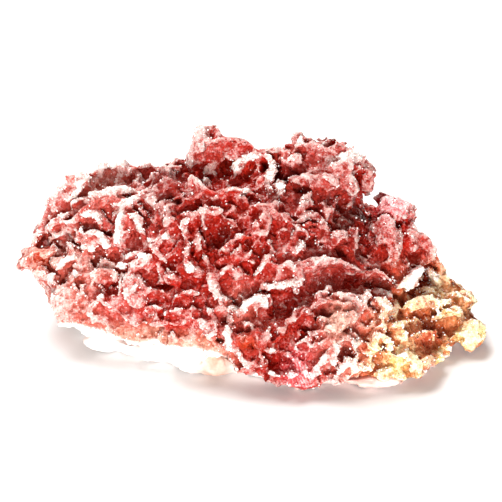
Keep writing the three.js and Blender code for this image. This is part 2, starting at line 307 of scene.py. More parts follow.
lumps = solid_mesh("trona_plates")
for centre in SKIRT:
    foot = bmesh.ops.create_icosphere(lumps, subdivisions=3, radius=1)["verts"]
    bmesh.ops.scale(lumps, vec=SKIRT_HALF, verts=foot)
    bmesh.ops.translate(lumps, vec=centre, verts=foot)
mass = as_object("trona_mass", lumps)
fuse(mass, BODY_GRAIN)
soften(mass, rounds=4)
roughen(mass, "CLOUDS", across=6, height=3.0)
settle(mass)
facet(mass.data, BODY_FACES, tilt=0.12, share=0.85, most=1.2)

# Pockets between the plates of the display side: (mm aside, mm up, half-width, depth)
POCKETS = [
    (-43.5, 24.5, 2.8, 3), (-26.5, 26, 3.2, 3), (-30.8, 24.5, 2, 2.5), (-37.5, 8.5, 3.4, 2.5),
    (-34.5, 2.7, 3.2, 2), (-0.8, 38.5, 3.2, 3.5), (-7.5, 31, 2.4, 2.5), (-9.5, 21, 5.4, 5),
    (14.5, 22.5, 3.2, 4), (7.5, 5, 4.6, 4.5), (40.5, 17, 2.8, 3), (26.5, 21.5, 4, 2.5), (24, 37, 2.4, 1.5),
    (45, -2, 6, 3.5), (21, 31, 3, 2), (5, 22, 3, 2), (-3, -2.5, 3, 2), (13, -1, 3.5, 2.5), (23, -6, 3, 2),
    (-22, 12, 3, 2.5), (2, 14, 2.5, 2), (3.6, -9, 2, 2), (14, 1.2, 2.4, 2.5), (17.5, -11, 1.6, 1.5),
]
POCKET_END = 1.2  # how far out a pocket ends, in half-widths
POCKET_ROUNDING = 0.7  # under 1, its floor is broad and its walls are steep
DISPLAY_PLANE = np.array([ASIDE, UPWARD, TO_VIEWER])

body_points = points_of(mass.data)
body_normals = np.array([normal.vector for normal in mass.data.vertex_normals])
on_display = body_points @ DISPLAY_PLANE.T
facing = np.clip(body_normals @ np.array(TO_VIEWER) * 2, 0, 1)  # only what faces the viewer is hollowed
for aside, up, half_width, depth in POCKETS:
    reach = np.hypot(on_display[:, 0] - aside, on_display[:, 1] - up) / half_width
    hollow = np.clip(POCKET_END - reach, 0, 1) ** POCKET_ROUNDING * facing
    body_points -= np.outer(hollow * depth, TO_VIEWER)
move_points(mass.data, body_points)

# ---- Rims and small plates ---------------------------------------------------------------------
# Plates that grew last, from under one to nearly three millimetres thick. Each is thickest along
# its rim, bends as it grew, and is rooted in the mass.

body_tree = BVHTree.FromPolygons(
    [v.co for v in mass.data.vertices], [tuple(p.vertices) for p in mass.data.polygons]
)

SEARCH_RINGS = (1.5, 3, 5)  # mm round a spot, each tried where the last meets nothing
CLEAR_OF_IT = 100  # mm in front of the display plane, where nothing is


def front_at(aside, up):
    """The place nearest the viewer round a spot on the display plane, and its way out."""
    for ring in SEARCH_RINGS:
        found = []
        for da, du in ((0, 0), (ring, 0), (-ring, 0), (0, ring), (0, -ring)):
            start = (aside + da) * ASIDE + (up + du) * UPWARD + CLEAR_OF_IT * TO_VIEWER
            place, normal, _, _ = body_tree.ray_cast(start, -TO_VIEWER)
            if place:
                found.append((place.dot(TO_VIEWER), normal))
        if found:
            break
    depth = max(d for d, _ in found)
    way_out = sum((n for _, n in found), Vector()).normalized()
    return aside * ASIDE + up * UPWARD + depth * TO_VIEWER, way_out


BLANK_CUTS = 7  # along a plate

blank = bmesh.new()
bmesh.ops.create_cube(blank, size=2)
for axis, cuts in ((0, BLANK_CUTS), (2, 1)):
    lengthwise = [e for e in blank.edges if abs((e.verts[0].co - e.verts[1].co)[axis]) > 1]
    bmesh.ops.subdivide_edges(blank, edges=lengthwise, cuts=cuts, use_grid_fill=True)
blank_mesh = bpy.data.meshes.new("plate_blank")
blank.to_mesh(blank_mesh)
blank.free()
blank_points = points_of(blank_mesh).tolist()


def along_line(line, share):
    """A place on a smooth line through a few points, and the line's direction there."""
    spans = len(line) - 1
    i = min(int(share * spans), spans - 1)
    t = share * spans - i
    a, b = line[i], line[i + 1]
    leaving = (b - line[i - 1]) / 2 if i else b - a
    arriving = (line[i + 2] - a) / 2 if i + 2 <= spans else b - a
    place = (2 * t**3 - 3 * t**2 + 1) * a + (t**3 - 2 * t**2 + t) * leaving
    place += (3 * t**2 - 2 * t**3) * b + (t**3 - t**2) * arriving
    way = (6 * t**2 - 6 * t) * (a - b) + (3 * t**2 - 4 * t + 1) * leaving + (3 * t**2 - 2 * t) * arriving
    return place, way.normalized()


ROOT_THICKNESS = 0.65  # a plate's thickness at its root, as a share of its rim's
END_THINNING = 0.45  # how much of it goes towards the ends
END_DROOP = 0.5  # how far the rim's ends drop, as a share of its thickness


def grow_plate(plates, rim, way_out, thick, depth):
    """Adds a plate under a rim line: it thins towards its root and its ends."""
    first = len(plates.verts)
    plates.from_mesh(blank_mesh)
    plates.verts.ensure_lookup_table()
    for i, (along, across, height) in enumerate(blank_points):
        place, way = along_line(rim, (along + 1) / 2)
        side = way_out.cross(way).normalized()
        top = (height + 1) / 2
        half_thick = thick / 2 * (ROOT_THICKNESS + (1 - ROOT_THICKNESS) * top)
        half_thick *= 1 - END_THINNING * along * along
        drop = depth * (1 - top) + END_DROOP * thick * abs(along) ** 3
        plates.verts[first + i].co = place + side * across * half_thick - way_out * drop


SNOWY, WHITE, PALE, PLAIN, CRIMSON = 1.9, 1.35, 0.6, 0.0, -1.0  # more or less frost than elsewhere

# Rims that show on the display side, each by its line on the display plane, how thick it is and how
# frosted: ([(mm aside, mm up), ...], thick, frost)
RIMS = [
    # the left end
    ([(-40.5, 32.5), (-36, 33.8), (-30, 34.5)], 1.8, WHITE),
    ([(-36, 29), (-32, 31), (-28, 33.5)], 1.5, WHITE),
    ([(-28, 34.5), (-26, 32.5), (-24, 30)], 1.0, PALE),
    ([(-29, 33.5), (-27, 31), (-25.5, 29)], 0.9, PALE),
    ([(-45, 28), (-39, 30.5), (-33, 31)], 2.0, CRIMSON),
    ([(-47, 32), (-44, 35)], 1.6, WHITE),
    ([(-44, 27.5), (-40, 27.5)], 1.3, WHITE),
    ([(-33.5, 29), (-34.5, 25.5), (-35, 21.5)], 1.6, WHITE),
    ([(-31.5, 28), (-30, 26), (-28.5, 24)], 1.2, PALE),
    ([(-50, 14), (-47, 16.5), (-44, 17)], 1.4, WHITE),
    ([(-29.5, 17.5), (-26, 17.5)], 1.4, WHITE),
    ([(-55, 23), (-51, 26), (-47, 28.5)], 1.6, PALE),
    ([(-53, 21), (-49, 23), (-45, 24)], 1.4, PALE),
    ([(-54, 29.5), (-51.5, 33), (-49, 35.5)], 1.6, PALE),
    ([(11, 45), (11.4, 48.4)], 2.0, PALE),  # on the right-hand peak
    ([(-45.6, 36.5), (-44.8, 39.6)], 1.5, PALE),
    ([(-40, 38.5), (-38, 41.8)], 1.6, PALE),
    ([(-35.6, 39), (-33.8, 42.4)], 1.7, PALE),
    ([(-28.6, 38.6), (-27.6, 41.6)], 1.5, PALE),
    ([(-22.4, 39), (-20.7, 42.2)], 1.6, PALE),
    ([(-34, 8), (-33.6, 12.8)], 0.9, PALE),
    ([(-41, 11), (-38, 15.5), (-34.5, 13)], 2.0, PALE),
    ([(-57, 20), (-54.5, 25), (-53, 30)], 1.6, PLAIN),
    ([(-44, 38), (-40.5, 40.5)], 1.2, PALE),
    ([(-30, 40), (-26, 40.5)], 1.4, PLAIN),
    ([(-38.5, 20.5), (-36.5, 19)], 1.8, WHITE),
    ([(-42.5, 19.5), (-40.5, 18.6)], 1.5, WHITE),
    ([(-46, 12.8), (-44, 12.4)], 1.3, WHITE),
    ([(-35, 15.5), (-33, 14.2)], 1.4, WHITE),
    ([(-32.5, 17.6), (-31, 17.2)], 1.3, WHITE),
    ([(-27.5, 20.5), (-25.5, 21)], 1.4, WHITE),
    ([(-37.5, 40), (-34.5, 41)], 1.3, PALE),
    ([(-21, 38.5), (-18.5, 40.5)], 1.4, PALE),
    # the upper middle
    ([(-16.5, 40), (-15.5, 45), (-13.5, 49.5)], 1.6, PALE),
    ([(-12.5, 44), (-12, 48), (-11.5, 50.5)], 1.0, PALE),
    ([(-10, 47.5), (-5, 46.8), (0, 45)], 0.9, PLAIN),
    ([(-6, 39.6), (-2, 42.2), (1.6, 43.2)], 2.2, WHITE),
    ([(2.5, 43.5), (4.2, 41), (4, 38), (3.5, 35), (2, 33)], 1.9, WHITE),
    ([(5.4, 34.5), (7.6, 35.1)], 2.4, SNOWY),
    ([(-13.2, 36.2), (-11.4, 36.4)], 1.6, WHITE),
    ([(-13, 37), (-12, 39), (-10, 40.5)], 1.8, PALE),
    ([(-3.5, 32), (-1.5, 34.5)], 1.8, WHITE),
    ([(-8, 33.5), (-5.5, 34), (-3, 33.5)], 1.2, PALE),
    ([(-18, 23), (-17.3, 25.5), (-16, 27)], 1.8, PALE),
    ([(-16, 27), (-12, 28.6), (-8, 28.5)], 1.4, PALE),
    ([(-5, 25), (-4.2, 23), (-3.5, 21)], 1.2, PLAIN),
    ([(-9.5, 18.7), (-6, 18.7)], 1.1, WHITE),
    ([(-24, 22), (-20.5, 22)], 1.5, WHITE),
    ([(3, 44.5), (6.5, 44.5), (9, 44)], 1.4, PALE),
    # the upper right
    ([(19.5, 41), (24, 42.4), (28.5, 42)], 2.2, SNOWY),
    ([(23.5, 36), (25.5, 38.5), (27, 40)], 1.0, PALE),
    ([(32.5, 31.5), (35.5, 32.2), (38.5, 31)], 1.2, PALE),
    ([(34.5, 27), (38, 27)], 1.1, WHITE),
    ([(9, 35.5), (11.5, 37), (14, 38.5)], 1.4, PLAIN),
    ([(15, 36), (17.5, 37), (20, 36)], 1.3, PLAIN),
    ([(9, 24), (12, 27), (15, 27.5), (17, 26), (18.5, 23.5)], 1.5, PALE),
    ([(19, 21.5), (21, 23), (23, 21.5)], 1.1, PALE),
    ([(10, 17), (11, 19.5), (13, 20)], 1.5, WHITE),
    ([(11, 15.5), (15, 16.5), (20, 16), (25, 14.5), (27, 13.5)], 1.3, PALE),
    ([(23, 17.5), (28, 13.5)], 1.6, CRIMSON),
    ([(20, 20.5), (24, 19)], 1.3, CRIMSON),
    ([(37, 25), (36.6, 21), (37, 17)], 1.2, PALE),
    ([(36, 28), (34.5, 26), (33, 24)], 1.1, PALE),
    ([(11.5, 30.5), (14.5, 33)], 1.3, PALE),
    ([(38, 8.5), (40.5, 11.5), (43, 14)], 1.8, SNOWY),
    ([(45.8, 17.6), (48, 14), (49.6, 10)], 1.5, PLAIN),
    ([(42.5, 23), (45, 19.5), (46.5, 16)], 1.6, PLAIN),
    # the front
    ([(-7, 3.5), (-4.6, 5)], 1.7, WHITE),
    ([(-3.4, 5.2), (0, 6.4), (3, 7)], 1.7, WHITE),
    ([(2.4, 7.5), (2.5, 5.5), (2, 3.5)], 1.8, WHITE),
    ([(2.5, 9.5), (6, 10), (12, 10.5)], 1.8, WHITE),
    ([(10.3, 10.5), (9.5, 8)], 1.8, WHITE),
    ([(-11.5, 12), (-10, 9), (-8.5, 6)], 1.8, PALE),
    ([(-7.6, 7), (-6.4, 7)], 1.4, WHITE),
    ([(-16.7, 14.5), (-15.3, 14.5)], 1.4, WHITE),
    ([(-10, 15.5), (-4, 17.2)], 1.5, CRIMSON),
    ([(-9, 12), (-6.5, 14), (-4, 12.5)], 1.1, PALE),
    ([(5, 12), (8, 15.5), (11, 13)], 1.2, PALE),
    ([(0, 12), (2, 15), (4, 18)], 1.2, PALE),
    ([(-14, 2), (-12, -1), (-10, -4)], 1.8, PALE),
    ([(-3, -5), (1, 0)], 1.5, CRIMSON),
    ([(-7.1, 0.4), (-7, -2.2), (-6.4, -4.7)], 1.5, WHITE),
    ([(-5.7, -5.4), (-3.2, -8), (-1, -10.8)], 1.4, PALE),
    ([(3.4, 0.2), (3.2, -2), (3.8, -4)], 1.1, PALE),
    ([(9.4, 3.6), (9.6, 0.8)], 1.1, PALE),
    ([(9.9, -5), (12.4, -3.3), (14, -5.4)], 1.2, WHITE),
    ([(2.4, -5.7), (5.5, -6.7)], 1.2, PALE),
    ([(3.4, -11.1), (6, -12)], 1.2, PALE),
    ([(15.3, -4.7), (20.4, -2.6)], 1.3, CRIMSON),
    ([(22.6, -3.2), (19.4, -5.7), (16, -9.4), (14, -12.1)], 1.8, PALE),
    ([(21.3, -2), (24.3, -4.7), (25.4, -7.6)], 1.4, PALE),
    ([(24.8, -8.8), (22, -10), (19.6, -12.4)], 1.4, PALE),
    # the yellow end
    ([(12, 2.8), (15.5, 5.6), (19.5, 6), (23.5, 4.4)], 1.2, PLAIN),
    ([(21, 4.2), (23, 5.2), (25.5, 4.6)], 1.2, CRIMSON),
    ([(20, 8), (25, 6.5), (27, 4)], 1.3, PALE),
    ([(26, 4), (27.5, 7), (29, 9)], 1.5, WHITE),
    ([(42, 4), (46, 5.5), (50, 6)], 1.8, PALE),
    ([(36.4, -7), (37.6, -7)], 1.5, WHITE),
    ([(37, -2), (38, -2)], 1.4, WHITE),
    ([(48.4, -6.5), (49.6, -6.5)], 1.4, WHITE),
    ([(45, 3.5), (46, 3.5)], 1.4, WHITE),
    ([(32.2, 4.2), (33.4, 5.6)], 2.4, WHITE),
    ([(36.4, 0.2), (37.4, 0.2)], 1.6, WHITE),
    ([(19, -9.3), (19.8, -9.4)], 1.3, WHITE),
]
# Sprays of thin blades: the root's place, the way they point in degrees, how far they fan out, how
# many, how long, how thick, and how frosted.
SPRAYS = [
    ((25.5, -13), 80, 80, 5, 6, 1.0, PALE),
    ((-29, 3), 95, 70, 7, 9, 0.9, PLAIN),
    ((-43, 1), 100, 90, 8, 10, 0.9, PLAIN),
    ((-12, 36.5), 60, 50, 4, 4, 0.9, PALE),
    ((-6, -8), 130, 70, 6, 6, 0.9, PALE),
]
# Panes and beads that are seen flat on: (mm aside, mm up, half-width, half-height, half-thickness,
# turn in degrees, how frosted)
PANES = [
    (-13.6, 46.8, 2.3, 3.8, 1.8, -8, PLAIN),
    (-5.5, 44.6, 5.2, 3.2, 1.2, -18, PLAIN),
    (-22.5, 34, 4.0, 2.6, 1.2, 20, CRIMSON),
    (28.6, 36.8, 2.6, 3.6, 2.4, 0, PLAIN),
    (24, 35.2, 2.2, 3.0, 1.8, 15, PLAIN),
    (35.2, 29.2, 4.0, 3.4, 2.8, 0, PLAIN),
    (33.5, 23.5, 2.6, 4.4, 1.8, 12, PLAIN),
    (39.5, 22, 2.4, 4.2, 1.8, 8, PLAIN),
    (21.5, 0.8, 4.6, 1.9, 1.2, 28, PLAIN),
    (41, 5, 4.4, 1.8, 1.2, 22, PLAIN),
    (-38, 12, 3.6, 2.2, 1.0, 0, CRIMSON),
    (-30, 8.5, 3.2, 5.2, 1.5, 15, PLAIN),
    (-47, 5, 4.5, 5.5, 2.0, 10, PLAIN),
    (6.6, 34.9, 1.5, 1.2, 1.3, 0, WHITE),
    (-12.3, 36.3, 1.1, 0.7, 0.9, -15, WHITE),
    (3.6, 20.6, 0.9, 0.7, 0.9, 0, WHITE),
    (-15.9, 14.4, 1.4, 1.5, 1.2, 20, WHITE),
    (38.4, 22.5, 1.0, 1.3, 1.0, 0, WHITE),
    (33.2, -5.4, 1.2, 0.9, 1.0, 0, WHITE),
    (46.2, 11.2, 1.5, 3.4, 2.4, 30, SNOWY),
]
SPRAY_ROOT = 1.5  # mm from a spray's root to where its blades show
FIBRES = 8  # a bundle of straight ones at the lower front, side by side
PANE_LEAN = math.radians(12)  # how far a pane leans back from the viewer
RIM_RISE = 0.7  # a rim's height over what is round it
RIM_DEPTH = 5.0
RIM_SWELL = 1.15  # makes up for what rounding takes off a rim
RIM_LEVELLING = 0.5  # how far a rim keeps to one distance from the viewer
RIM_LIFT = 0.3  # how much a rim turns up
RIM_STEPS = 8

growth = bmesh.new()
frosted = []  # places along the rims: (place, how thick the rim is, how frosted)
shown = []  # places on the rims and panes that show on the display side


def grow_rim(line, thick, dusting):
    """A plate whose rim follows a line on the display plane."""
    met = [front_at(*spot) for spot in line]
    level = sum(place.dot(TO_VIEWER) for place, _ in met) / len(met)
    out = sum((normal for _, normal in met), Vector()).normalized()
    out = (out + TO_VIEWER + RIM_LIFT * Vector((0, 0, 1))).normalized()
    rim = []
    for (aside, up), (place, _) in zip(line, met):
        depth = RIM_LEVELLING * level + (1 - RIM_LEVELLING) * place.dot(TO_VIEWER) + RIM_RISE
        rim.append(aside * ASIDE + up * UPWARD + depth * TO_VIEWER)
    grow_plate(growth, rim, out, RIM_SWELL * thick, RIM_DEPTH)
    for step in range(RIM_STEPS + 1):
        place = along_line(rim, step / RIM_STEPS)[0]
        frosted.append((place, thick, dusting))
        shown.append(place)


for line, thick, dusting in RIMS:
    grow_rim(line, thick, dusting)
for step in range(FIBRES):  # each runs down, a little to the right
    share = step / (FIBRES - 1)
    top = (7 + 6.3 * share, -8.6 + 0.8 * math.sin(5 * step))
    grow_rim([top, (8.8 + 7.2 * share, -15.2)], 0.8, PLAIN)
for (root_aside, root_up), heading, fan, count, length, thick, dusting in SPRAYS:
    for blade in range(count):
        turn = math.radians(heading + fan * (blade / (count - 1) - 0.5))
        reach = length * (0.8 + 0.2 * math.sin(5 * blade))
        ends = [
            (root_aside + far * math.cos(turn), root_up + far * math.sin(turn)) for far in (SPRAY_ROOT, reach)
        ]
        grow_rim(ends, thick, dusting)

KEPT_CLEAR = 1.8  # mm round a shown rim or pane where no small plate grows
for aside, up, half_width, half_height, half_thick, turn, dusting in PANES:
    middle, _ = front_at(aside, up)
    lie = Matrix.Rotation(math.pi / 2 - VIEW_TILT - PANE_LEAN, 4, "X")
    lie @= Matrix.Rotation(math.radians(turn), 4, "Z")
    pane = bmesh.ops.create_icosphere(growth, subdivisions=3, radius=1)["verts"]
    bmesh.ops.scale(growth, vec=(half_width, half_height, half_thick), verts=pane)
    bmesh.ops.transform(growth, matrix=Matrix.Translation(middle) @ lie, verts=pane)
    shown.extend(corner.co.copy() for corner in pane)
    if dusting:
        frosted.append((middle, max(half_width, half_height, half_thick), dusting))


PLATE_SIZES = [  # how many; half their span, from and to; how thick, and how far they stand up
    (400, 2.4, 5.0, 1.4, 1.7),
    (850, 0.9, 2.4, 1.0, 0.9),
]
BARE_FOOT = 8  # mm up the mass where none is scattered
BARE_FOOT_LEFT = 11  # the same over the thick part of the crust, which is left of THICK_TO
THICK_TO = -4
OVERHANG = -0.6  # none grows where the mass faces down more than this
UPTURN = 0.45  # how much they turn up
LEAN = 0.7  # how much they lean to one side, at most half of it each way
ROOTED = 1.5  # mm that they go into the mass
FOOT = [(24, -29), (31, -30), (38, -29), (46, -21.5), (53, -10)]  # the low front of the yellow end
FOOT_HEIGHT = 2.6
FOOT_SPREAD = 2.2  # mm of height that its plates are spread over
FOOT_UPTURN = 0.5
FOOT_PLATES = 44
FOOT_SIZES = (1.2, 3.2, 1.3, 1.6)  # half their span, from and to; how thick, and how far they stand up


def scatter(mesh, count, liking=None):
    """So many places spread evenly over a mesh, or by how well each vertex is liked."""
    mesh.calc_loop_triangles()
    corner_numbers = np.empty(len(mesh.loop_triangles) * 3, np.int32)
    mesh.loop_triangles.foreach_get("vertices", corner_numbers)
    corner_numbers = corner_numbers.reshape(-1, 3)
    corners = points_of(mesh)[corner_numbers]
    outward = np.cross(corners[:, 1] - corners[:, 0], corners[:, 2] - corners[:, 0])
    areas = np.linalg.norm(outward, axis=1).astype(float)
    chance = areas if liking is None else areas * liking[corner_numbers].mean(1)
    chosen = rng.choice(len(areas), count, p=chance / chance.sum())
    shares = rng.dirichlet((1, 1, 1), count)
    places = (corners[chosen] * shares[:, :, None]).sum(1)
    outward = outward[chosen] / areas[chosen, None]
    return [(Vector(place), Vector(out)) for place, out in zip(places.tolist(), outward.tolist())]


def grow_small_plate(place, out, half, thick, rise):
    """A plate at a place on the skin, turned and bent at random."""
    turn, bend, lean = rng.random(3).tolist()
    way_out = (out + UPTURN * Vector((0, 0, 1)) + LEAN * (lean - 0.5) * ASIDE).normalized()
    along = way_out.orthogonal().normalized()
    along.rotate(Matrix.Rotation(2 * math.pi * turn, 3, way_out))
    sag = way_out.cross(along) * half * (bend - 0.5)
    centre = place + way_out * rise
    rim = [centre - along * half + sag, centre - sag * 0.5, centre + along * half + sag]
    grow_plate(growth, rim, way_out, thick, rise + ROOTED)


shown_tree = kdtree.KDTree(len(shown))
for i, place in enumerate(shown):
    shown_tree.insert(place, i)
shown_tree.balance()
for count, least, most, thickness, standing in PLATE_SIZES:
    for place, out in scatter(mass.data, count):
        at_foot = place.z < (BARE_FOOT_LEFT if place.x < THICK_TO else BARE_FOOT)
        if out.z > OVERHANG and not at_foot and shown_tree.find(place)[2] > KEPT_CLEAR:
            size, swell, lift = rng.random(3).tolist()
            half = least + (most - least) * size
            grow_small_plate(place, out, half, thickness * (0.8 + 0.4 * swell), standing * (0.6 + 0.8 * lift))
foot_line = [Vector((x, y, FOOT_HEIGHT)) for x, y in FOOT]
least, most, thickness, standing = FOOT_SIZES
for step in range(FOOT_PLATES):
    place, way = along_line(foot_line, (step + 0.5) / FOOT_PLATES)
    out = Vector((way.y, -way.x, FOOT_UPTURN)).normalized()
    size, lift = rng.random(2).tolist()
    place = place - ROOTED * out + Vector((0, 0, FOOT_SPREAD * lift))
    grow_small_plate(place, out, least + (most - least) * size, thickness, standing)
small = as_object("small_plates", growth)

whole = bmesh.new()
whole.from_mesh(mass.data)
whole.from_mesh(small.data)
trona = as_object("trona", whole)


def sprinkle(name, doublings, mesh, least, most, liking=None):
    """Cubes over a mesh, two to the power of doublings, turned at random and mostly small."""
    blocks = bmesh.new()
    bmesh.ops.create_cube(blocks, size=1)
    for _ in range(doublings):
        bmesh.ops.duplicate(blocks, geom=blocks.verts[:] + blocks.edges[:] + blocks.faces[:])
    sprinkled = as_object(name, blocks)
    corners = points_of(sprinkled.data).reshape(-1, 8, 3)
    count = len(corners)
    turns = np.linalg.qr(rng.normal(size=(count, 3, 3)))[0]
    turns *= np.linalg.det(turns)[:, None, None]
    sizes = least + (most - least) * rng.random(count) ** 3
    places = np.array([place for place, _ in scatter(mesh, count, liking)])
    move_points(sprinkled.data, (corners @ turns * sizes[:, None, None] + places[:, None]).reshape(-1, 3))
    return sprinkled


sugar = sprinkle("sugar_lumps", doublings=11, mesh=small.data, least=0.4, most=1.1)
whole = bmesh.new()
whole.from_mesh(trona.data)
whole.from_mesh(sugar.data)
whole.to_mesh(trona.data)
whole.free()
for done in (mass, small, sugar):
    bpy.data.objects.remove(done)

SKIN_GRAIN = 0.4
BROAD_FACES = 8000  # crystal faces over the skin, about 2.4 mm across
FINE_FACES = 40000  # and small ones over those, about 1.1 mm across

fuse(trona, SKIN_GRAIN)
soften(trona, rounds=1)
roughen(trona, "CLOUDS", across=2.8, height=0.9, middle=0.6)
settle(trona)

# Where growth stopped on the display side: (mm aside, mm up) along the top, (mm up, mm to the right)
# down the right and (mm up, mm to the left) down the left
SKYLINE = [
    (-54, 30.5), (-49, 37), (-45, 39.3), (-43, 37), (-38, 41.8), (-34, 42.3), (-31.6, 39.8), (-27.6, 41.6),
    (-24.8, 39.2), (-20.7, 42.2), (-18, 41.5), (-17, 46.5), (-14.8, 50.8),
    (-10.6, 50.8), (-8.5, 48.3), (-2, 46.8), (3.5, 44.4), (8.5, 46), (10.3, 49.2), (12.3, 49.2), (13.8, 46.8),
    (17, 47.2), (22, 46.2), (27.5, 45), (31, 41), (32, 34), (38, 33),
]
RIGHT_EDGE = [
    (-4, 58.6), (1.5, 57.6), (3.6, 54), (6, 56), (8, 54.5), (10, 50.4), (14, 48.6), (18, 47.2), (22, 44.4),
    (25, 41.3), (30, 40.4), (32.5, 34.5), (33.6, 29.5), (38.5, 31), (45, 27.5),
]
LEFT_EDGE = [
    (-2, 49), (1, 50.5), (5.7, 53), (9, 54), (11.5, 58.6), (14.9, 60.3), (18.3, 59.2), (21.7, 57.7),
    (25.8, 56.3), (28.2, 54.6), (31.5, 53.4), (36, 50.5),
]
GROWTH_HELD = 0.8  # how much of what is past a line is taken back
HELD_MOST = 5  # mm past a line, from where on no more is taken back
RAGGED = 0.7  # mm that the lines wander in and out, in two waves
WAVES = (2.1, 0.8)  # radians for each mm

trona_points = points_of(trona.data)
in_view = trona_points @ DISPLAY_PLANE.T
for way, along, line in ((UPWARD, 0, SKYLINE), (ASIDE, 1, RIGHT_EDGE), (-ASIDE, 1, LEFT_EDGE)):
    uneven_edge = RAGGED * np.sin(WAVES[0] * in_view[:, along]) * np.sin(WAVES[1] * in_view[:, along])
    over = trona_points @ np.array(way) - np.interp(in_view[:, along], *zip(*line)) - uneven_edge
    trona_points -= np.outer(GROWTH_HELD * np.clip(over, 0, HELD_MOST), way)
keep_on_floor(trona_points)
move_points(trona.data, trona_points)
facet(trona.data, BROAD_FACES, tilt=0.14, share=0.85, most=0.5)
fine_faces = facet(trona.data, FINE_FACES, tilt=0.25, share=0.7, most=0.2)
trona_points = points_of(trona.data)
keep_on_floor(trona_points)
move_points(trona.data, trona_points)

# ---- Frost and stains --------------------------------------------------------------------------
# Trona is clear red inside and dusted white by later salt, most on rims and on what faces up. Iron
# and clay stain it by place: peach by the crust, maroon within, and amber and yellow at one end.

CREST_ROUNDS = 25  # rounds of smoothing that leave the small crests standing out
RISE_ROUNDS = 220  # and the broad rises
CREST_FROST = 1.7  # frost for each mm of crest
RISE_FROST_PAINTED_SHADE = 0.3  # and of rise
TOP_FROST = 0.25  # frost on what faces straight up
RIM_FROST = 0.8
BARE = 0.15  # taken off everywhere
FACE_SPREAD = 0.2  # how much the frost differs from crystal face to crystal face
RIM_REACH = 1.3  # how far a rim's frost reaches, in thicknesses of the rim

skin = trona.data
skin_points = points_of(skin)
skin_normals = np.array([normal.vector for normal in skin.vertex_normals])


def standing_out(rounds):
    """How many mm each place stands out of the skin once that is smoothed so many times."""
    smooth_points, smooth_normals = smoothed(skin, rounds)
    return ((skin_points - smooth_points) * smooth_normals).sum(1)


rims_tree = kdtree.KDTree(len(frosted))
for i, (place, _, _) in enumerate(frosted):
    rims_tree.insert(place, i)
rims_tree.balance()
rim_frost = np.zeros(len(skin_points))
for i, place in enumerate(skin_points):
    _, nearest, distance = rims_tree.find(place)
    _, thick, amount = frosted[nearest]
    rim_frost[i] = amount * min(max(RIM_REACH - distance / thick, 0), 1)

STAINS = {  # the clear face, the dusted rim, and how much more or less frost
    "clear red": ("#A62218", "#CCB0AA", 0.0),
    "deep red": ("#981F15", "#C29C95", -0.1),
    "maroon": ("#84221B", "#B4958F", -0.1),
    "dusty pink": ("#A63C34", "#CCB3AE", 0.1),
    "sugary pink": ("#B2463E", "#D8C5C0", 0.1),
    "pale pink": ("#BE685C", "#DECDC8", 0.3),
    "salmon": ("#B85E50", "#DCB8B0", 0.15),
    "peach": ("#C88068", "#E2B4A4", 0.2),
    "orange red": ("#B43C1E", "#E0B09F", -0.1),
    "fibrous pink": ("#C04850", "#ECC6C8", 0.25),
    "amber": ("#AA4026", "#D69E72", -0.2),
    "cream": ("#CC8454", "#EADAA8", 0.25),
    "pale cream": ("#D09A62", "#EFE4BE", 0.25),
    "lemon": ("#D6C070", "#EEE6BA", 0.2),
    "tan": ("#A87464", "#D6B0A0", -0.1),
    "salt": ("#F8F0EA", "#FDFAF8", 1.2),
}
STAINED = [  # (mm aside, mm up, reach, stain), laid over each other in this order
    (-50, 24, 15, "sugary pink"),
    (-38, 24, 12, "sugary pink"),
    (-30, 33, 12, "dusty pink"),
    (-40, 39, 9, "pale pink"),
    (-26, 40, 6, "sugary pink"),
    (-44, 8, 14, "salmon"),
    (-30, 8, 11, "sugary pink"),
    (-38, 13, 4, "salmon"),
    (-56, 11, 8, "pale pink"),
    (-36, 22, 6, "sugary pink"),
    (-54.5, 17, 4, "orange red"),
    (-37, 8.5, 3.5, "clear red"),
    (-22, 3, 8, "clear red"),
    (-20, 14, 8, "clear red"),
    (-22, 33, 6, "maroon"),
    (-9.5, 21, 8, "deep red"),
    (-2, 30, 8, "deep red"),
    (-5, 43, 6, "clear red"),
    (-14, 46, 6, "dusty pink"),
    (12, 34, 9, "maroon"),
    (18, 42, 10, "dusty pink"),
    (25, 24, 10, "maroon"),
    (29, 36, 4, "deep red"),
    (36, 30, 5, "fibrous pink"),
    (38, 22, 7, "clear red"),
    (14, 12, 10, "dusty pink"),
    (4, 2, 11, "deep red"),
    (-8, -5, 8, "sugary pink"),
    (-4, 4.5, 5, "pale pink"),
    (11.2, -12.3, 5, "fibrous pink"),
    (22, -9, 8, "pale pink"),
    (21, 1, 5, "tan"),
    (30, -2, 6, "salmon"),
    (38, 2, 9, "cream"),
    (34, -11, 9, "cream"),
    (50, -6, 9, "cream"),
    (48, 7, 7, "cream"),
    (46, -1, 6.5, "amber"),
    (42, 13, 5, "sugary pink"),
    (32.5, 9, 5, "sugary pink"),
    (49, 6, 6, "pale cream"),
    (36, -13, 6, "pale cream"),
    (51, -8, 5, "pale cream"),
    (55, 7, 5, "pale cream"),
    (8, 45, 4, "sugary pink"),
    (-2, -4.5, 2.5, "orange red"),
    (57.5, -2, 3.2, "lemon"),
    (35.5, -9.8, 2.6, "lemon"),
    (47.5, -8.8, 2.6, "lemon"),
    (52.5, -4, 2.2, "lemon"),
    (48.5, 4.8, 2, "lemon"),
    (30, -5.5, 1.6, "lemon"),
]
SALT_LINE = [  # (mm aside, mm up) where salt has covered the foot of the plates on the display side
    (-50, 0), (-45, 0), (-42, -0.8), (-38, -1.5), (-35, -3.2), (-31, -5), (-28, -5.5), (-20, -5.2), (-17, -6),
    (-14.5, -7), (-13, -10),
]
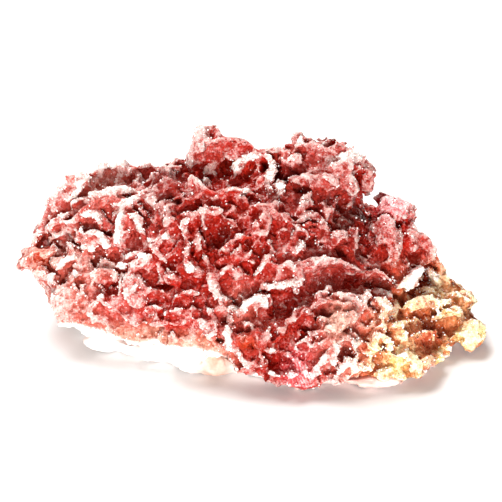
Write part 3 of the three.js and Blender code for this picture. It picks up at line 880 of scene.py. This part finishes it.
CRUST_TOP = [  # (mm along X, how thick the crust is there)
    (-62, 4.6), (-48, 4.4), (-38, 4.6), (-30, 5.4), (-22, 7.6), (-15, 8.8), (-9, 7.4), (-3, 3.4),
    (6, 1.7), (20, 1.4), (32, 2.6), (42, 1.8), (62, 1.5),
]
FRONT_TO_BACK = 0.6  # how much that distance counts, so that stains reach further that way
FIBROUS_AT = (11.2, -12.3)  # mm aside and mm up, the bundle of fibres
FIBROUS_REACH = 4.4

# The rise term is painted shade: broad hollows get less frost than broad rises, so they look darker and
# redder.
frost = CREST_FROST * standing_out(CREST_ROUNDS) + RISE_FROST_PAINTED_SHADE * standing_out(RISE_ROUNDS)
frost += TOP_FROST * skin_normals[:, 2] + RIM_FROST * rim_frost - BARE
frost += FACE_SPREAD * (rng.random(FINE_FACES) - 0.5)[fine_faces]
faces = np.tile(linear(STAINS["clear red"][0]), (len(skin_points), 1))
rims = np.tile(linear(STAINS["clear red"][1]), (len(skin_points), 1))


def blend(values, none, full):
    """A share that goes from 0 where values are at none to 1 where they are at full."""
    return np.clip((values - none) / (full - none), 0, 1)


def stain_places(share, stain):
    """Lays a stain over the skin, where its share says."""
    face, rim, more = STAINS[stain]
    faces[:] += share[:, None] * (np.array(linear(face)) - faces)
    rims[:] += share[:, None] * (np.array(linear(rim)) - rims)
    frost[:] += share * more


for aside, up, reach, stain in STAINED:
    away = skin_points - np.array(front_at(aside, up)[0])
    away[:, 1] *= FRONT_TO_BACK
    stain_places(np.exp(-((away**2).sum(1) / reach**2) ** 1.5), stain)
along_x, along_y, height = skin_points.T
above_crust = height - np.interp(along_x, *zip(*CRUST_TOP))
stain_places(blend(above_crust, 6, 2) * blend(along_x, -2, -10), "peach")  # over the thick crust
skin_view = skin_points @ DISPLAY_PLANE.T
under_line = np.interp(skin_view[:, 0], *zip(*SALT_LINE)) - skin_view[:, 1]
in_front = blend(along_y, -3, -4) * blend(along_x, -12, -13)
stain_places(blend(under_line, -0.5, 0.5) * in_front, "salt")
stain_places(blend(height, 1.8, 0.8), "salt")  # the lowest millimetre
stain_places(blend(above_crust, 1.5, 0.5) * blend(along_x, -4, -10), "salt")  # the seam with the crust
from_fibres = skin_points - np.array(front_at(*FIBROUS_AT)[0])
fibrous = np.exp(-((from_fibres**2).sum(1) / FIBROUS_REACH**2) ** 3)
skin.attributes.new("fibrous", "FLOAT", "POINT").data.foreach_set("value", fibrous.astype(np.float32))
keep_colours(skin, "face_colour", faces)
keep_colours(skin, "rim_colour", rims)
skin.attributes.new("frost", "FLOAT", "POINT").data.foreach_set("value", frost.astype(np.float32))

# Trona grown from brine: glassy and deep on its faces, with a dull sugary dust of tiny crystals.
red_trona, trona_shader = new_material("frosted_red_trona")
CRYSTAL = 0.5  # mm across each pattern, first the crystals of the dust
DUST = 0.4
MOTTLE = 1.3
FILM = 3.5  # of brown clay on the clear faces
PATCH = 5  # of more or less frost
RECESS = 4  # mm round a place that can shade it
FACET_TILT = 1.1  # how much each tiny crystal turns the surface
FIBRE = 0.75  # mm from fibre to fibre in the bundle at the lower front
FIBRE_BEND = 7.0  # radians by which the patches bend them

trona_place = node(red_trona, "ShaderNodeTexCoord").outputs["Object"]
frost_value = node(red_trona, "ShaderNodeAttribute", attribute_name="frost").outputs["Fac"]
face_colour = node(red_trona, "ShaderNodeAttribute", attribute_name="face_colour").outputs["Color"]
rim_colour = node(red_trona, "ShaderNodeAttribute", attribute_name="rim_colour").outputs["Color"]
crystals = node(red_trona, "ShaderNodeTexVoronoi", {"Vector": trona_place, "Scale": 1 / (CRYSTAL * METRES)})
crystal_value = node(red_trona, "ShaderNodeSeparateColor", {0: crystals.outputs["Color"]}).outputs[0]
dust = node(
    red_trona, "ShaderNodeTexNoise", {"Vector": trona_place, "Scale": 1 / (DUST * METRES), "Detail": 2.0}
).outputs["Fac"]
mottle = node(
    red_trona, "ShaderNodeTexNoise", {"Vector": trona_place, "Scale": 1 / (MOTTLE * METRES), "Detail": 3.0}
).outputs["Fac"]
patches = node(
    red_trona, "ShaderNodeTexNoise", {"Vector": trona_place, "Scale": 1 / (PATCH * METRES), "Detail": 2.0}
).outputs["Fac"]
openness = node(
    red_trona, "ShaderNodeAmbientOcclusion", {"Distance": RECESS * METRES}, samples=6
).outputs["AO"]
across_fibres = (ASIDE + 0.3 * UPWARD) * (2 * math.pi / (FIBRE * METRES))
fibre_turns = node(
    red_trona, "ShaderNodeVectorMath", {0: trona_place, 1: across_fibres}, operation="DOT_PRODUCT"
).outputs["Value"]
bent_fibres = node(
    red_trona, "ShaderNodeMath", {0: patches, 1: FIBRE_BEND, 2: fibre_turns}, operation="MULTIPLY_ADD"
).outputs[0]
fibres = node(
    red_trona, "ShaderNodeMath",
    {0: node(red_trona, "ShaderNodeMath", {0: bent_fibres}, operation="SINE").outputs[0],
     1: node(red_trona, "ShaderNodeAttribute", attribute_name="fibrous").outputs["Fac"]},
    operation="MULTIPLY",
).outputs[0]
uneven = frost_value
# The openness term thins the frost in recesses: partly where dust settles less, and partly as painted shade
# that keeps recesses red.
for source, share, middle in (  # how much each adds to the frost, and the value that adds nothing
    (crystal_value, 0.6, 0.5), (dust, 1.8, 0.5), (mottle, 1.6, 0.5), (patches, 1.6, 0.6),
    (openness, 1.9, 0.85), (fibres, 0.4, 0),
):
    uneven = node(
        red_trona, "ShaderNodeMath",
        {0: node(red_trona, "ShaderNodeMath", {0: source, 1: middle}, operation="SUBTRACT").outputs[0],
         1: share, 2: uneven},
        operation="MULTIPLY_ADD",
    ).outputs[0]
# Painted shade: the clear faces are darkened in recesses, by how closed in each place is, and the mottle
# varies their lightness at random.
recess_shade = node(
    red_trona, "ShaderNodeMapRange", {"Value": openness, "From Min": 0.15, "From Max": 0.7, "To Min": 0.8}
).outputs["Result"]
lightness = node(
    red_trona, "ShaderNodeMapRange",
    {"Value": mottle, "From Min": 0.3, "From Max": 0.7, "To Min": 0.7, "To Max": 1.25},
).outputs["Result"]
film = node(
    red_trona, "ShaderNodeTexNoise", {"Vector": trona_place, "Scale": 1 / (FILM * METRES), "Detail": 2.0}
).outputs["Fac"]
film_share = node(
    red_trona, "ShaderNodeMapRange", {"Value": film, "From Min": 0.5, "From Max": 0.75, "To Max": 0.5}
).outputs["Result"]
face_colour = node(
    red_trona, "ShaderNodeMix", {0: film_share, 6: face_colour, 7: linear("#8E2A18")}, data_type="RGBA"
).outputs[2]
recess_shade_and_mottle = node(
    red_trona, "ShaderNodeMath", {0: recess_shade, 1: lightness}, operation="MULTIPLY"
).outputs[0]
trona_colour = node(
    red_trona, "ShaderNodeMix",
    {0: 1.0, 6: face_colour, 7: recess_shade_and_mottle},
    data_type="RGBA", blend_type="MULTIPLY",
).outputs[2]
for low, high, coat in ((-0.3, 0.5, 0.5), (0.4, 1.1, 1.0)):  # a thin coat of dust, then a full one
    coat_share = node(
        red_trona, "ShaderNodeMapRange", {"Value": uneven, "From Min": low, "From Max": high, "To Max": coat}
    ).outputs["Result"]
    trona_colour = node(
        red_trona, "ShaderNodeMix", {0: coat_share, 6: trona_colour, 7: rim_colour}, data_type="RGBA"
    ).outputs[2]
white_share = node(
    red_trona, "ShaderNodeMapRange", {"Value": uneven, "From Min": 1.4, "From Max": 2.2}
).outputs["Result"]
trona_colour = node(
    red_trona, "ShaderNodeMix", {0: white_share, 6: trona_colour, 7: linear("#FCF5F0")}, data_type="RGBA"
).outputs[2]
# Painted shade: recesses are darkened and reddened by how closed in they are, standing in for light that
# reaches them through red crystal.
painted_recess_redness = node(
    red_trona, "ShaderNodeMapRange",
    {"Value": openness, "From Min": 0.3, "From Max": 0.85, "To Min": 0.8, "To Max": 0.0},
).outputs["Result"]
trona_colour = node(
    red_trona, "ShaderNodeMix",
    {0: painted_recess_redness, 6: trona_colour, 7: linear("#FFC8BA")},
    data_type="RGBA", blend_type="MULTIPLY",
).outputs[2]
trona_rough = node(
    red_trona, "ShaderNodeMapRange",
    {"Value": uneven, "From Min": 0.0, "From Max": 0.9, "To Min": 0.2, "To Max": 0.6},
).outputs["Result"]
facet_turn = node(
    red_trona, "ShaderNodeVectorMath",
    {0: crystals.outputs["Color"], 1: (0.5, 0.5, 0.5)},
    operation="SUBTRACT",
).outputs[0]
trona_bump = node(
    red_trona, "ShaderNodeBump",
    {"Height": crystals.outputs["Distance"], "Strength": 0.5, "Distance": 0.25 * METRES},
    invert=True,
).outputs["Normal"]
facets = node(
    red_trona, "ShaderNodeVectorMath", {0: facet_turn, 1: (FACET_TILT,) * 3, 2: trona_bump},
    operation="MULTIPLY_ADD",
).outputs[0]
facets = node(red_trona, "ShaderNodeVectorMath", {0: facets}, operation="NORMALIZE").outputs[0]
red_trona.node_tree.links.new(trona_colour, trona_shader.inputs["Base Color"])
red_trona.node_tree.links.new(trona_rough, trona_shader.inputs["Roughness"])
red_trona.node_tree.links.new(facets, trona_shader.inputs["Normal"])
trona_shader.inputs["IOR"].default_value = 1.49
trona_shader.inputs["Specular IOR Level"].default_value = 0.28
trona_shader.inputs["Subsurface Weight"].default_value = 0.45
trona_shader.inputs["Subsurface Radius"].default_value = (1.0, 0.3, 0.25)
trona_shader.inputs["Subsurface Scale"].default_value = 2.0 * METRES

# The mass is parted in flat cuts across it, so that no piece's mesh is too large. Each part is
# closed, and the cuts don't show.
PARTS = [
    ("trona_left_end", -70, -33),
    ("trona_left", -33, -13),
    ("trona_middle", -13, 6),
    ("trona_right", 6, 25),
    ("trona_yellow_end", 25, 70),
]
for name, low, high in PARTS:
    part = bmesh.new()
    part.from_mesh(skin)
    for cut_x, way in ((low, -1), (high, 1)):
        cut = bmesh.ops.bisect_plane(
            part, geom=part.verts[:] + part.edges[:] + part.faces[:], plane_co=(cut_x, 0, 0),
            plane_no=(way, 0, 0), clear_outer=True, dist=1e-5,
        )
        cut_edges = [e for e in cut["geom_cut"] if isinstance(e, bmesh.types.BMEdge)]
        bmesh.ops.triangle_fill(part, edges=cut_edges, use_beauty=True)
        for edge in cut_edges:
            edge.smooth = False
    part_piece = as_object(name, part)
    put_in_place(part_piece, red_trona, "trona_plates")

# ---- Sugar grains ------------------------------------------------------------------------------
# Loose-looking cubes of clear salt that grew last, on the frosted rims most of all. They catch the
# light as white sparks.

liking = np.clip(frost, 0.1, 1.5) ** 2 * np.clip(skin_normals[:, 2] + 0.8, 0.3, 1)
liking *= skin_points[:, 2] > 0.5  # keeps them off the floor
sparks = sprinkle("sugar_grains", doublings=13, mesh=skin, least=0.12, most=0.42, liking=liking)
clear_salt, grain_shader = new_material("clear_salt_cubes")
grain_shader.inputs["Base Color"].default_value = linear("#FFF8F4")
grain_shader.inputs["Roughness"].default_value = 0.15
grain_shader.inputs["IOR"].default_value = 1.54
put_in_place(sparks, clear_salt, "trona_plates")
bpy.data.objects.remove(trona)

# ---- Floor and light -----------------------------------------------------------------------------
# A white paper floor under a soft light from above and behind, with two fills on the viewer's side:
# a low one, which reaches into the recesses, and a weaker one above it.

floor_shape = bmesh.new()
bmesh.ops.create_grid(floor_shape, x_segments=1, y_segments=1, size=3)
floor = as_object("floor", floor_shape)
floor_paint, floor_shader = new_material("white_paper")
floor_shader.inputs["Base Color"].default_value = linear("#E2E2E2")
floor_shader.inputs["Roughness"].default_value = 0.9
floor_shader.inputs["Specular IOR Level"].default_value = 0.1
floor.data.materials.append(floor_paint)


def soft_light(name, place, size, power):
    """A square light panel that faces the specimen."""
    panel = bpy.data.lights.new(name, "AREA")
    panel.size = size
    panel.energy = power
    lamp = bpy.data.objects.new(name, panel)
    lamp.location = place
    lamp.rotation_euler = (-Vector(place)).to_track_quat("-Z", "Y").to_euler()
    bpy.context.collection.objects.link(lamp)


soft_light("key", (-0.3, 0.42, 0.85), 0.6, 18)
soft_light("low fill", (0.1, -1.1, 0.09), 0.16, 15)
soft_light("high fill", (-0.1, -1.0, 0.35), 0.3, 6)
world = bpy.data.worlds.new("white_room")
world.use_nodes = True
world.node_tree.nodes["Background"].inputs["Color"].default_value = linear("#FFE2D2")
world.node_tree.nodes["Background"].inputs["Strength"].default_value = 0.38
bpy.context.scene.world = world
bpy.context.scene.view_settings.view_transform = "Standard"
